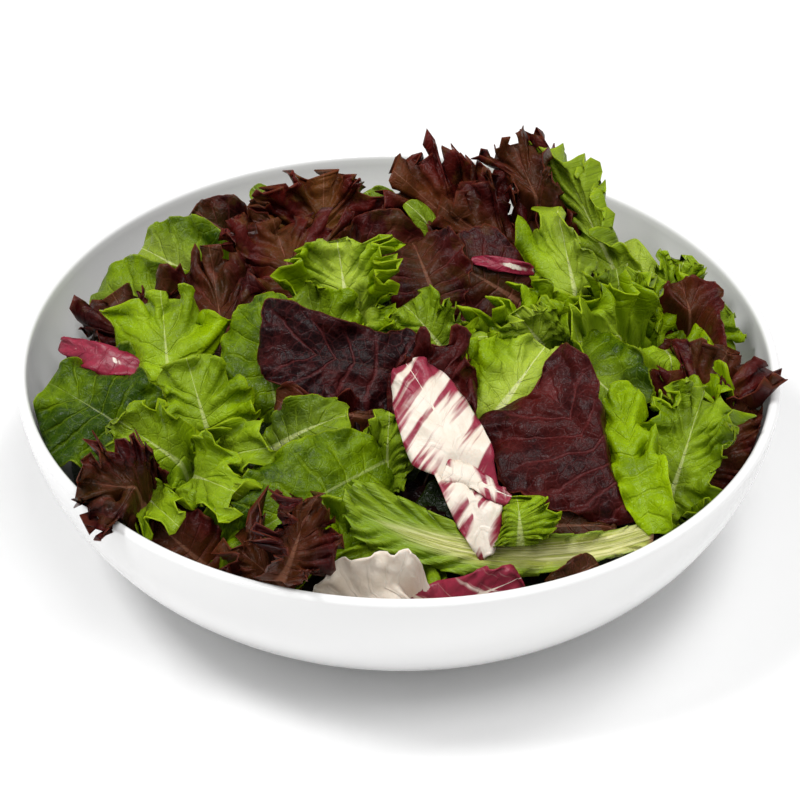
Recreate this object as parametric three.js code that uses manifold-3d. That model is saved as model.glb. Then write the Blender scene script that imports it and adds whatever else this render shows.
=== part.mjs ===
// A white porcelain bowl heaped with mixed salad leaves: green lettuce, red lettuce, frilly red
// lettuce and radicchio. The bowl is one turned solid. The salad is one solid: a mound with every
// leaf that shows fused on. Millimetres, +Z up, origin at the centre of the bowl's foot; the
// serving side, from which the heap is usually seen, faces -Y.

import * as THREE from "three";
import { mergeVertices } from "three/addons/utils/BufferGeometryUtils.js";
import Module from "manifold-3d";

const wasm = await Module();
wasm.setup();

// Bowl
const RIM_RADIUS = 140;
const BOWL_HEIGHT = 75;
const WALL = 4;
const WALL_CURVE_DEPTH = 75.5; // the depth at which the wall's curve would close on the axis
const WALL_CURVE_START = 1.65; // how soon below the rim the wall turns in
const WALL_CURVE_END = 0.25; // how square the wall meets the bottom
const FLOOR_THICKNESS = 6;
const FOOT_RADIUS = 66;
const FOOT_WIDTH = 5;
const FOOT_RECESS = 2;
const FOOT_HEIGHT = 3;
const LIP_STEPS = 4;
const WALL_STEPS = 7;
const BOWL_SIDES = 48;

// Mound of leaves under the ones that show
const GAP = 0.4; // clear air between the salad and the bowl
const MOUND_TOP = 88;
const MOUND_REACH = 120; // the radius at which the drops below are reached
const MOUND_DROP_BACK = 46;
const MOUND_DROP_FRONT = 28;
const MOUND_POWER = 2.2;
const MOUND_LIFT = 0.5; // clear air between the mound and the bowl's floor
const MOUND_GAP = 1.5; // clear air between the mound and the curve of the wall
const MOUND_EDGE = 124; // the radius at which the mound's surface comes to the wall
const MOUND_SIDES = 24;
const MOUND_RINGS = 4;
const MOUND_WALL_STEPS = 4;

const LEAF_THICKNESS = 1.2;
const BASE_DEPTH = 5; // how far below the mound's surface a leaf's base is tucked

const DEGREE = Math.PI / 180;

// The bowl's outer radius at a height, down to where the foot takes over.
function outerRadius(z) {
  const depth = Math.min(Math.max(BOWL_HEIGHT - z, 0), BOWL_HEIGHT);
  const turnedIn = (depth / WALL_CURVE_DEPTH) ** WALL_CURVE_START;
  return RIM_RADIUS * (1 - turnedIn) ** WALL_CURVE_END;
}

// The bowl's inner radius at a height, zero below its floor.
function innerRadius(z) {
  if (z < FLOOR_THICKNESS) return 0;
  const share = (z - FLOOR_THICKNESS) / (BOWL_HEIGHT - FLOOR_THICKNESS);
  return outerRadius(share * BOWL_HEIGHT) - WALL;
}

// Points from the bottom of the outer or the inner wall up to just under the lip.
function wallPoints(radiusAt, lowest, grow) {
  const highest = BOWL_HEIGHT - WALL / 2;
  return Array.from({ length: WALL_STEPS + 1 }, (_, i) => {
    const z = lowest + (highest - lowest) * (i / WALL_STEPS) ** 1.6;
    return new THREE.Vector2(radiusAt(z) + grow, z - grow);
  });
}

// The bowl's section, swollen by grow on every side: up the outside, over the lip, down the inside.
function bowlProfile(grow) {
  const outside = wallPoints(outerRadius, FOOT_HEIGHT, grow);
  const lipCentre = RIM_RADIUS - WALL / 2;
  const lip = Array.from({ length: LIP_STEPS - 1 }, (_, i) => {
    const angle = (Math.PI * (i + 1)) / LIP_STEPS;
    const radius = WALL / 2 + grow;
    return new THREE.Vector2(
      lipCentre + radius * Math.cos(angle),
      BOWL_HEIGHT - WALL / 2 + radius * Math.sin(angle),
    );
  });
  const inside = wallPoints(innerRadius, FLOOR_THICKNESS, -grow).reverse();
  return [
    new THREE.Vector2(0, FOOT_RECESS - grow),
    new THREE.Vector2(FOOT_RADIUS - FOOT_WIDTH, FOOT_RECESS - grow),
    new THREE.Vector2(FOOT_RADIUS - FOOT_WIDTH, -grow),
    new THREE.Vector2(FOOT_RADIUS, -grow),
    ...outside,
    ...lip,
    ...inside,
    new THREE.Vector2(0, FLOOR_THICKNESS + grow),
  ];
}

// Height of the mound's surface: a dome, higher at the serving side, where the leaves reach the rim.
function moundHeight(x, y) {
  const radius = Math.hypot(x, y);
  const front = radius > 0 ? (1 - y / radius) / 2 : 0.5;
  const drop = THREE.MathUtils.lerp(MOUND_DROP_BACK, MOUND_DROP_FRONT, front);
  return MOUND_TOP - drop * (radius / MOUND_REACH) ** MOUND_POWER;
}

// The mound. A disc of unit radius and height is turned, then its side is laid along the bowl's
// wall and its top is raised to moundHeight.
function moundSolid() {
  const side = Array.from(
    { length: MOUND_WALL_STEPS + 1 },
    (_, i) => new THREE.Vector2(1, i / MOUND_WALL_STEPS),
  );
  const top = Array.from(
    { length: MOUND_RINGS },
    (_, i) => new THREE.Vector2(1 - (i + 1) / MOUND_RINGS, 1),
  );
  const disc = new THREE.LatheGeometry([new THREE.Vector2(0, 0), ...side, ...top], MOUND_SIDES);
  disc.rotateX(Math.PI / 2);
  const lowest = FLOOR_THICKNESS + MOUND_LIFT;
  const place = disc.getAttribute("position");
  for (let i = 0; i < place.count; i++) {
    const [x, y, share] = [place.getX(i), place.getY(i), Math.max(place.getZ(i), 0)];
    const out = Math.hypot(x, y);
    const [along, across] = out > 0 ? [x / out, y / out] : [1, 0];
    const edge = moundHeight(along * MOUND_EDGE, across * MOUND_EDGE);
    const level = THREE.MathUtils.lerp(lowest, edge, share);
    const radius = out * (innerRadius(level - MOUND_LIFT) - MOUND_GAP);
    const onTop = share > 0.99 && out < 0.99;
    const height = onTop ? moundHeight(along * radius, across * radius) : level;
    place.setXYZ(i, along * radius, across * radius, height);
  }
  return solidFrom(disc);
}

// A closed geometry as a solid, turned the right way out.
function solidFrom(geometry) {
  const bare = geometry.clone().deleteAttribute("normal").deleteAttribute("uv");
  const merged = mergeVertices(bare, 1e-4);
  const corners = merged.index.array;
  const faces = [];
  for (let i = 0; i < corners.length; i += 3) {
    const [a, b, c] = [corners[i], corners[i + 1], corners[i + 2]];
    if (a !== b && b !== c && a !== c) faces.push(a, b, c);
  }
  const build = (list) =>
    new wasm.Manifold(
      new wasm.Mesh({
        numProp: 3,
        vertProperties: merged.getAttribute("position").array,
        triVerts: new Uint32Array(list),
      }),
    );
  const made = build(faces);
  return made.volume() > 0 ? made : build(faces.reverse());
}

// A solid as a geometry that a mesh can show.
function geometryFrom(solid) {
  const mesh = solid.getMesh();
  const geometry = new THREE.BufferGeometry();
  geometry.setAttribute("position", new THREE.BufferAttribute(mesh.vertProperties, 3));
  geometry.setIndex(new THREE.BufferAttribute(mesh.triVerts, 1));
  geometry.computeVertexNormals();
  return geometry;
}

// Leaves of one kind share their outline and how their edges wave. midrib is the share of the
// length that the midrib runs, full how square the blade is, forward how near the tip it is
// widest, lobes how deep its edge is cut, ruffle how high its edge waves.
const KINDS = {
  smooth: { midrib: 0.8, full: 0.75, forward: 1.1, lobes: 0.06, ruffle: 2.2, waves: 3 },
  lobed: { midrib: 0.7, full: 0.7, forward: 1.2, lobes: 0.16, ruffle: 3.5, waves: 3 },
  frilly: { midrib: 0.72, full: 0.6, forward: 1.3, lobes: 0.1, ruffle: 4.5, waves: 4 },
  spiky: { midrib: 0.6, full: 0.6, forward: 1.35, lobes: 0.22, ruffle: 4, waves: 4 },
  chicory: { midrib: 0.85, full: 0.6, forward: 1, lobes: 0.08, ruffle: 2, waves: 3 },
  stem: { midrib: 0.9, full: 0.8, forward: 2.4, lobes: 0.12, ruffle: 3, waves: 3 },
  scrap: { midrib: 0.85, full: 0.6, forward: 1, lobes: 0.1, ruffle: 1.2, waves: 2 },
};

const SERVING = [0, -0.7, 0.7];

// Each leaf runs from the base of its midrib to its tip, in millimetres. A base without a height is
// tucked into the mound. face is the way the upper side looks, arch how far the midrib bows up near
// the base and near the tip, curl how many degrees the left and right halves bend up by their edges,
// sway how far the midrib bows to its left.
const LEAVES = [
  // back row
  { name: "dark back left", kind: "smooth", base: [-48, 84], tip: [-82, 96, 74], width: 26, face: [0, -0.8, 0.6] },
  { name: "dark back left inner", kind: "spiky", base: [-40, 70], tip: [-56, 92, 80], width: 28 },
  { name: "scrap back left", kind: "scrap", base: [-36, 92], tip: [-58, 101, 81], width: 12 },
  { name: "lollo back left", kind: "spiky", base: [-30, 72], tip: [-30, 88, 95], width: 40, face: [0, -1, 0.3], curl: [30, 30] },
  { name: "lollo mid left", kind: "spiky", base: [-34, 12], tip: [-48, 54, 95], width: 42, curl: [20, -20] },
  { name: "brown arch", kind: "smooth", base: [-25, 62], tip: [12, 54, 80], width: 34, arch: [22, 22] },
  { name: "scrap back mid", kind: "scrap", base: [4, 78], tip: [-14, 95, 84], width: 18 },
  { name: "green sliver", kind: "scrap", base: [30, 60], tip: [2, 66, 98], width: 10 },
  { name: "lollo top", kind: "spiky", base: [44, 66], tip: [-2, 84, 99], width: 46, face: [0, -0.8, 0.6], arch: [6, 6] },
  { name: "lollo spire", kind: "spiky", base: [57, 70], tip: [47, 92, 116], width: 30, face: [0, -1, 0.2], curl: [30, 10] },
  { name: "lollo back mid", kind: "spiky", base: [58, 52], tip: [20, 62, 97], width: 34 },
  { name: "dark mid left", kind: "smooth", base: [16, 12], tip: [4, 42, 98], width: 36, curl: [30, 30] },
  { name: "dark mid right", kind: "smooth", base: [52, 26], tip: [15, 32, 97], width: 38, arch: [8, 4] },
  { name: "chicory sliver upper", kind: "scrap", base: [36, 30], tip: [10, 34, 100], width: 9 },
  { name: "green upright", kind: "frilly", base: [98, 34], tip: [55, 88, 113], width: 24, face: [-0.3, -0.9, 0.4], arch: [6, 2], curl: [30, 50] },
  { name: "green rib back", kind: "lobed", base: [72, 6], tip: [56, 44, 105], width: 30, face: [-0.2, -0.9, 0.4], arch: [8, 6], curl: [30, 30] },
  { name: "chicory stub", kind: "scrap", base: [60, 56], tip: [79, 50, 84], width: 8 },
  { name: "dark strip right", kind: "scrap", base: [72, 22], tip: [66, 32, 92], width: 16 },
  // right side
  { name: "frill right upper", kind: "frilly", base: [98, 22], tip: [64, -12, 100], width: 38, arch: [8, 8] },
  { name: "frill right outer", kind: "frilly", base: [92, 14], tip: [120, 26, 82], width: 38, arch: [6, 8] },
  { name: "frill right lower", kind: "frilly", base: [98, 20], tip: [101, -36, 84], width: 36, arch: [14, 14] },
  { name: "rib piece right", kind: "scrap", base: [108, 38], tip: [86, 68, 80], width: 18 },
  { name: "red right back", kind: "smooth", base: [114, -4, 68], tip: [105, 33, 86], width: 26, face: [0.1, -1, 0.2], curl: [30, 30] },
  { name: "lollo right", kind: "spiky", base: [104, -42], tip: [119, -6, 82], width: 36, face: [-0.3, -0.6, 0.8], arch: [8, 4] },
  { name: "lollo right low", kind: "spiky", base: [104, -56], tip: [126, -22, 70], width: 36 },
  { name: "curl right", kind: "frilly", base: [95, -74], tip: [112, -34, 85], width: 34, arch: [12, 8], curl: [50, 50] },
  { name: "blade right", kind: "smooth", base: [88, -98, 72], tip: [77, -42, 93], width: 26, face: [-0.2, -0.8, 0.6], arch: [8, 6] },
  { name: "under right", kind: "smooth", base: [58, 2], tip: [94, -46, 76], width: 46, arch: [8, 8] },
  // middle
  { name: "red big right", kind: "smooth", base: [83, -92, 74], tip: [50, -44, 97], width: 60, face: [-0.1, -0.6, 0.8], arch: [6, 6] },
  { name: "red big left", kind: "smooth", base: [14, -32, 86], tip: [-50, -27, 98], width: 40, arch: [8, 6] },
  { name: "red fold left", kind: "smooth", base: [6, -46], tip: [-43, -50, 90], width: 30, face: [0, -0.9, 0.4], arch: [6, 4] },
  { name: "red crinkled", kind: "spiky", base: [-2, -46], tip: [25, -30, 102], width: 42, arch: [6, 4] },
  { name: "chicory main", kind: "chicory", base: [31, -110, 71], tip: [2, -47, 106], width: 26, face: [-0.1, -0.8, 0.6], arch: [6, 8], curl: [20, -30], sway: -4 },
  { name: "rib mid", kind: "lobed", base: [25, -60], tip: [53, -22, 97], width: 40, arch: [6, 6] },
  { name: "frill mid", kind: "frilly", base: [76, 14], tip: [22, -22, 100], width: 36, arch: [12, 8] },
  { name: "frill behind red", kind: "frilly", base: [20, -16], tip: [2, -6, 102], width: 28 },
  { name: "frill left tall", kind: "frilly", base: [-16, -6], tip: [-23, 20, 110], width: 40, face: [0, -1, 0.3], curl: [50, 50] },
  { name: "frill left low", kind: "lobed", base: [-16, -6], tip: [-41, 4, 96], width: 30 },
  { name: "oval left", kind: "smooth", base: [-42, -44], tip: [-50, -2, 100], width: 34, face: [-0.2, -0.8, 0.6], arch: [4, 8], curl: [0, 30] },
  { name: "bright left", kind: "lobed", base: [-80, -38], tip: [-87, 8, 97], width: 40, arch: [8, 8] },
  // left side
  { name: "green top left", kind: "smooth", base: [-58, 30], tip: [-100, 58, 82], width: 40, face: [0, -0.7, 0.7], arch: [10, 8] },
  { name: "green far left", kind: "smooth", base: [-66, 26], tip: [-117, 44, 64], width: 40, face: [-0.3, -0.6, 0.7], arch: [10, 8] },
  { name: "lollo left", kind: "spiky", base: [-84, -8], tip: [-108, 30, 78], width: 36 },
  { name: "red strip left", kind: "spiky", base: [-62, -14], tip: [-70, 36, 88], width: 30 },
  { name: "chicory left", kind: "scrap", base: [-94, -18, 80], tip: [-122, 2, 77], width: 13 },
  { name: "dull left", kind: "smooth", base: [-88, -42], tip: [-127, -19, 74], width: 50, face: [-0.2, -0.5, 0.85], arch: [8, 6] },
  { name: "cluster upper", kind: "lobed", base: [-64, -56], tip: [-75, -33, 95], width: 34, arch: [6, 6] },
  { name: "cluster left", kind: "lobed", base: [-68, -64], tip: [-100, -57, 88], width: 28, arch: [8, 8], curl: [40, 40] },
  { name: "cluster right", kind: "lobed", base: [-72, -58], tip: [-45, -76, 90], width: 26, arch: [8, 8] },
  { name: "cluster front left", kind: "lobed", base: [-86, -68], tip: [-76, -100, 76], width: 26, arch: [10, 8], curl: [30, 30] },
  { name: "cluster front right", kind: "lobed", base: [-70, -64], tip: [-56, -94, 85], width: 26, arch: [10, 8] },
  // front
  { name: "big front", kind: "smooth", base: [-4, -70, 80], tip: [-67, -112, 65], width: 44, arch: [8, 6] },
  { name: "small dark front", kind: "smooth", base: [-46, -58], tip: [-17, -58, 91], width: 24, face: [0, -0.6, 0.8], arch: [8, 8] },
  { name: "frill small mid", kind: "frilly", base: [-4, -76], tip: [-3, -66, 98], width: 20 },
  { name: "frill front", kind: "frilly", base: [20, -104], tip: [-36, -102, 82], width: 26, arch: [6, 6] },
  { name: "stem front", kind: "stem", base: [88, -97, 72], tip: [-18, -98, 83], width: 22, arch: [-2, 6], sway: 12 },
  { name: "frill small front", kind: "frilly", base: [42, -108, 74], tip: [41, -98, 87], width: 24 },
  { name: "lollo front left", kind: "spiky", base: [-80, -82], tip: [-102, -80, 80], width: 28, face: [-0.3, -0.8, 0.5], arch: [10, 6] },
  { name: "lollo front", kind: "spiky", base: [-34, -114], tip: [-56, -110, 75], width: 26, curl: [40, 40] },
  { name: "lollo front tall", kind: "spiky", base: [-27, -122], tip: [-24, -110, 92], width: 30, face: [0.3, -1, 0.3], curl: [40, 20] },
  { name: "chicory front white", kind: "chicory", base: [-24, -119], tip: [11, -124, 78], width: 30, face: [0, -1, 0.4], curl: [30, 30] },
  { name: "chicory front pink", kind: "chicory", base: [6, -122], tip: [42, -122, 72], width: 18, face: [0, -0.9, 0.5] },
  { name: "red under front", kind: "smooth", base: [36, -88], tip: [76, -94, 72], width: 30 },
  { name: "small red front", kind: "scrap", base: [52, -122, 66], tip: [68, -115, 73], width: 12 },
  { name: "brown front left", kind: "smooth", base: [-60, -104], tip: [-84, -94, 72], width: 28 },
];

// The rest of the ring, behind the leaves that the serving side shows.
const BACK_LEAVES = 9;
const BACK_FROM = 20;
const BACK_TO = 160;
const BACK_KINDS = ["frilly", "smooth", "spiky"];
const BACK_INNER = 70;
const BACK_OUTER = 116;
for (let i = 0; i < BACK_LEAVES; i++) {
  const angle = THREE.MathUtils.lerp(BACK_FROM, BACK_TO, i / (BACK_LEAVES - 1)) * DEGREE;
  const turn = angle + (i % 2 ? 0.16 : -0.16);
  const [x, y] = [Math.cos(angle) * BACK_INNER, Math.sin(angle) * BACK_INNER];
  const [u, v] = [Math.cos(turn) * BACK_OUTER, Math.sin(turn) * BACK_OUTER];
  LEAVES.push({
    name: `back ${i}`,
    kind: BACK_KINDS[i % BACK_KINDS.length],
    base: [x, y],
    tip: [u, v, moundHeight(u, v) + 3],
    width: 38,
    face: [Math.cos(angle) * 0.6, Math.sin(angle) * 0.6, 0.8],
    arch: [5, 3],
  });
}

// A number from 0 to 1 that a leaf keeps, worked out from its place in the list.
function chance(leaf, use) {
  const mixed = Math.sin(leaf * 12.9898 + use * 78.233) * 43758.5453;
  return mixed - Math.floor(mixed);
}

// Where a leaf's surface lies. around runs from -1 at the base, over the tip at 0, to 1 at the base
// again; out runs from 0 at the midrib to 1 at the edge; lift moves off the surface.
function leafSurface(leaf, number) {
  const kind = KINDS[leaf.kind];
  const [x, y, z] = leaf.base;
  const base = new THREE.Vector3(x, y, z ?? moundHeight(x, y) - BASE_DEPTH);
  const axis = new THREE.Vector3(...leaf.tip).sub(base);
  const length = axis.length();
  axis.normalize();
  const up = new THREE.Vector3(...(leaf.face ?? SERVING));
  up.addScaledVector(axis, -up.dot(axis)).normalize();
  const side = new THREE.Vector3().crossVectors(up, axis);
  const [archBase, archTip] = leaf.arch ?? [4, 4];
  const [curlLeft, curlRight] = leaf.curl ?? [10, 10];
  const stem = leaf.kind === "stem" ? 5 : Math.min(3, leaf.width / 6);
  const phase = (use) => 2 * Math.PI * chance(number + 1, use);

  return (around, out, lift) => {
    const toTip = 1 - Math.abs(around);
    const bulge = Math.sin(Math.PI * toTip ** kind.forward) ** kind.full;
    const lobes =
      1 +
      kind.lobes * Math.sin(Math.PI * kind.waves * around + phase(1)) +
      kind.lobes * 0.5 * Math.sin(Math.PI * kind.waves * 1.7 * around + phase(2));
    const stemHere = stem * (1 - toTip);
    const edgeY = stemHere + (leaf.width / 2 - stemHere) * bulge * lobes;
    const edgeX = (length * (1 - Math.cos(Math.PI * toTip))) / 2;
    const ribX = length * kind.midrib * toTip;
    const flatX = ribX + (edgeX - ribX) * out;
    const flatY = edgeY * out;

    const ruffle =
      kind.ruffle * out ** 2 * Math.sin(Math.PI * kind.waves * around + phase(3)) +
      0.4 * kind.ruffle * out * Math.sin(Math.PI * kind.waves * 0.5 * around + phase(4));
    const curl = (around < 0 ? curlRight : curlLeft) * DEGREE;
    const bend = curl / (leaf.width / 2) || 1e-6;
    const turned = bend * flatY;
    const off = ruffle + lift;
    const across = (Math.sin(turned) / bend - off * Math.sin(turned)) * (around < 0 ? -1 : 1);
    const raised = (1 - Math.cos(turned)) / bend + off * Math.cos(turned);

    const s = flatX / length;
    const bow = 3 * s * (1 - s) ** 2 * archBase + 3 * s ** 2 * (1 - s) * archTip;
    const sideways = 4 * s * (1 - s) * (leaf.sway ?? 0);
    return base
      .clone()
      .addScaledVector(axis, flatX)
      .addScaledVector(side, across + sideways)
      .addScaledVector(up, bow + raised);
  };
}

// A leaf as a thin wavy solid. A flat box is bent into it. The box's wall along the midrib, where
// the two halves of the blade meet, is left out, and its underside is split into triangles along
// the same diagonals as its upper side.
const MIDRIB_WALL = 3;
const UNDERSIDE = 5;
function leafSolid(leaf, number) {
  const around = 2 * Math.ceil(Math.min(leaf.width, 40) / 12);
  const out = leaf.width > 42 ? 2 : 1;
  const box = new THREE.BoxGeometry(2, 1, 1, around, out, 1);
  const index = Array.from(box.index.array);
  const under = box.groups[UNDERSIDE];
  for (let i = under.start; i < under.start + under.count; i += 6) {
    const [a, b, d, , c] = index.slice(i, i + 6);
    index.splice(i, 6, a, b, c, a, c, d);
  }
  const wall = box.groups[MIDRIB_WALL];
  index.splice(wall.start, wall.count);
  box.setIndex(index);

  const surface = leafSurface(leaf, number);
  const place = box.getAttribute("position");
  for (let i = 0; i < place.count; i++) {
    const point = surface(place.getX(i), place.getY(i) + 0.5, place.getZ(i) * LEAF_THICKNESS);
    place.setXYZ(i, ...point.toArray());
  }
  return solidFrom(box);
}

// The mound and all leaves as one solid, cut clear of the bowl. What the cut leaves loose is
// dropped.
function saladSolid() {
  const heap = LEAVES.reduce((sum, leaf, i) => sum.add(leafSolid(leaf, i)), moundSolid());
  const clear = heap.subtract(turned(bowlProfile(GAP)));
  return clear.decompose().sort((a, b) => b.volume() - a.volume())[0];
}

// A profile turned about the +Z axis.
function turned(profile) {
  return solidFrom(new THREE.LatheGeometry(profile, BOWL_SIDES).rotateX(Math.PI / 2));
}

function part(name, solid, color, roughness) {
  const material = new THREE.MeshStandardMaterial({ color, roughness, metalness: 0 });
  const mesh = new THREE.Mesh(geometryFrom(solid), material);
  mesh.name = name;
  return mesh;
}

const saladBowl = new THREE.Group();
saladBowl.add(
  part("bowl", turned(bowlProfile(0)), 0xf4f4f2, 0.15),
  part("salad", saladSolid(), 0x5f8f1c, 0.5),
);

export default saladBowl;
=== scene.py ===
import math
import random
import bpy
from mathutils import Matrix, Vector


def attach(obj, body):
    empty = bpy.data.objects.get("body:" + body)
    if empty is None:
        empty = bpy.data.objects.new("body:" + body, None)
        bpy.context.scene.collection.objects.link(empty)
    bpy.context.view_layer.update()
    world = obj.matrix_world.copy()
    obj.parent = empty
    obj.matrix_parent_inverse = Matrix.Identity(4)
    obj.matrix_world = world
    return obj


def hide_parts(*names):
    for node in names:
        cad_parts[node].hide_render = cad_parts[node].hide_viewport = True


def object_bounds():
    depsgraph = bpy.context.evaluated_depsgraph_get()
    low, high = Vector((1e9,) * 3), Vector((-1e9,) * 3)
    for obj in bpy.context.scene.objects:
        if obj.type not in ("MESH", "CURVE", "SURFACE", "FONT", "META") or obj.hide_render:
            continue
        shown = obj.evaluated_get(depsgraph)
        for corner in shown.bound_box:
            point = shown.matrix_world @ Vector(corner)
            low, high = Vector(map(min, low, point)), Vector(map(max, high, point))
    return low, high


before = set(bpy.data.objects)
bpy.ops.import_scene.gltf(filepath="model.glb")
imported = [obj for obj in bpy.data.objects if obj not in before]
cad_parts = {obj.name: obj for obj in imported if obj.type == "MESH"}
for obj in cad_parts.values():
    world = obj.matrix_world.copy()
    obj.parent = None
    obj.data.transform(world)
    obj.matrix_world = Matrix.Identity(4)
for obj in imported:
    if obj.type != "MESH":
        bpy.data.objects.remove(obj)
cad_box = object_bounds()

from types import SimpleNamespace

import bmesh
import bpy
from mathutils import Matrix, Vector, noise
from mathutils.bvhtree import BVHTree

# The bowl. White porcelain, turned as one piece with a low foot and a rounded lip, and glazed all
# over except for the ring that it stands on. Lengths here and below are in millimetres, and MM
# makes them metres where a mesh is finished.
MM = 0.001
RIM_RADIUS = 140
BOWL_HEIGHT = 75
WALL = 4
WALL_CURVE_DEPTH = 75.5
WALL_CURVE_START = 1.65
WALL_CURVE_END = 0.25
FLOOR_THICKNESS = 6
FOOT_RADIUS = 66
FOOT_WIDTH = 5
FOOT_RECESS = 2
FOOT_HEIGHT = 3
FOOT_ROUND = 0.6
WALL_STEPS = 44
WALL_CROWDING = 1.6
LIP_STEPS = 14
BOWL_SIDES = 192
BOWL_CREASE = math.radians(30)
WELD = 1e-6


def outer_radius(z):
    """The bowl's outer radius at a height."""
    depth = min(max(BOWL_HEIGHT - z, 0), BOWL_HEIGHT)
    turned_in = (depth / WALL_CURVE_DEPTH) ** WALL_CURVE_START
    return RIM_RADIUS * (1 - turned_in) ** WALL_CURVE_END


def inner_radius(z):
    """The bowl's inner radius at a height above its floor."""
    share = (z - FLOOR_THICKNESS) / (BOWL_HEIGHT - FLOOR_THICKNESS)
    return outer_radius(share * BOWL_HEIGHT) - WALL


def wall_points(radius_at, lowest):
    """Points up a wall, closer together low down, where it bends most."""
    rise = BOWL_HEIGHT - WALL / 2 - lowest
    heights = [lowest + rise * (i / WALL_STEPS) ** WALL_CROWDING for i in range(WALL_STEPS + 1)]
    return [(radius_at(z), z) for z in heights]


def bowl_outline():
    """The bowl's section: out over the foot, up the outside, over the lip and down the inside."""
    foot_inner = FOOT_RADIUS - FOOT_WIDTH
    angles = [math.pi * i / LIP_STEPS for i in range(1, LIP_STEPS)]
    lip = [
        (
            RIM_RADIUS - WALL / 2 + WALL / 2 * math.cos(angle),
            BOWL_HEIGHT - WALL / 2 + WALL / 2 * math.sin(angle),
        )
        for angle in angles
    ]
    return [
        (0, FOOT_RECESS),
        (foot_inner, FOOT_RECESS),
        (foot_inner, FOOT_ROUND),
        (foot_inner + FOOT_ROUND, 0),
        (FOOT_RADIUS - FOOT_ROUND, 0),
        (FOOT_RADIUS + FOOT_ROUND, FOOT_ROUND / 2),
        *wall_points(outer_radius, FOOT_HEIGHT),
        *lip,
        *reversed(wall_points(inner_radius, FLOOR_THICKNESS)),
        (0, FLOOR_THICKNESS),
    ]


def piece_from(bm, name, material, crease):
    """A finished piece that rides on the part's one body. Its edges are sharp above an angle."""
    for face in bm.faces:
        face.smooth = True
    mesh = bpy.data.meshes.new(name)
    bm.to_mesh(mesh)
    bm.free()
    mesh.set_sharp_from_angle(angle=crease)
    mesh.materials.append(material)
    piece = bpy.data.objects.new(name, mesh)
    bpy.context.scene.collection.objects.link(piece)
    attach(piece, "root")
    return piece


class Shade:
    """A socket of a material's nodes. Sums, differences and products of it add Math nodes."""

    def __init__(self, tree, socket=None):
        self.tree = tree
        self.socket = socket

    def node(self, kind, settings, values, result=0):
        made = self.tree.nodes.new(kind)
        for name, setting in settings.items():
            setattr(made, name, setting)
        for name, value in values.items():
            if isinstance(value, Shade):
                self.tree.links.new(value.socket, made.inputs[name])
            else:
                made.inputs[name].default_value = value
        return Shade(self.tree, made.outputs[result])

    def math(self, operation, *values):
        return self.node("ShaderNodeMath", {"operation": operation}, dict(enumerate(values)))

    def __add__(self, other):
        return self.math("ADD", self, other)

    def __sub__(self, other):
        return self.math("SUBTRACT", self, other)

    def __rsub__(self, other):
        return self.math("SUBTRACT", other, self)

    def __mul__(self, other):
        return self.math("MULTIPLY", self, other)

    __radd__ = __add__
    __rmul__ = __mul__


def new_material(name, constants):
    """A material, its nodes to reckon with, and its skin shader with what is the same all over."""
    material = bpy.data.materials.new(name)
    material.use_nodes = True
    skin = material.node_tree.nodes["Principled BSDF"]
    for socket, value in constants.items():
        skin.inputs[socket].default_value = value
    return material, Shade(material.node_tree), skin


def feed(skin, **shades):
    """Links shades to the skin's sockets; an underscore in a name stands for a space."""
    for name, shade in shades.items():
        shade.tree.links.new(shade.socket, skin.inputs[name.replace("_", " ")])


def mix(factor, first, second):
    """The colour that is first at factor 0 and second at factor 1."""
    settings = {"data_type": "RGBA", "clamp_factor": True}
    return factor.node("ShaderNodeMix", settings, {0: factor, 6: first, 7: second}, 2)


def step(value, low, high):
    """0 where value is at low and 1 where it is at high, with a soft run between them."""
    return value.node(
        "ShaderNodeMapRange", {"interpolation_type": "SMOOTHSTEP"}, {0: value, 1: low, 2: high}
    )


def mottle(vector, scale, detail=2.0, distortion=0.0):
    """Soft spots between 0 and 1, scale of them to each unit of vector."""
    return vector.node(
        "ShaderNodeTexNoise",
        {},
        {"Vector": vector, "Scale": scale, "Detail": detail, "Distortion": distortion},
    )


def bump(height, depth, strength=1.0):
    """A normal that follows a fine relief, depth metres from its low to its high."""
    values = {"Height": height, "Distance": depth, "Strength": strength}
    return height.node("ShaderNodeBump", {}, values)


def porcelain():
    """A clear, slightly rippled glaze. The foot's ring is bare and dull."""
    material, nodes, skin = new_material(
        "porcelain", {"IOR": 1.5, "Coat Weight": 0.35, "Coat Roughness": 0.04}
    )
    place = nodes.node("ShaderNodeTexCoord", {}, {}, "Object")
    height = place.node("ShaderNodeSeparateXYZ", {}, {0: place}, "Z")
    bare = 1 - step(height, 0.0002, 0.0007)
    clay = mix(mottle(place, 900.0), (0.62, 0.59, 0.54, 1), (0.78, 0.76, 0.72, 1))
    glaze = mix(mottle(place, 9.0), (0.84, 0.84, 0.84, 1), (0.89, 0.89, 0.885, 1))
    ripple = mottle(place, 28.0) + 0.06 * mottle(place, 420.0)
    feed(
        skin,
        Base_Color=mix(bare, glaze, clay),
        Roughness=0.13 + 0.07 * mottle(place, 60.0) + 0.5 * bare,
        Normal=bump(ripple, 0.0004, 0.3),
    )
    return material


bowl_mesh = bmesh.new()
section = [bowl_mesh.verts.new((radius * MM, 0, z * MM)) for radius, z in bowl_outline()]
edges = [bowl_mesh.edges.new(pair) for pair in zip(section, section[1:])]
bmesh.ops.spin(
    bowl_mesh,
    geom=section + edges,
    cent=(0, 0, 0),
    axis=(0, 0, 1),
    angle=math.tau,
    steps=BOWL_SIDES,
    use_merge=True,
)
bmesh.ops.remove_doubles(bowl_mesh, verts=bowl_mesh.verts, dist=WELD)
bmesh.ops.recalc_face_normals(bowl_mesh, faces=bowl_mesh.faces)
bowl = piece_from(bowl_mesh, "porcelain_bowl", porcelain(), BOWL_CREASE)
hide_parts("bowl")

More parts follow.
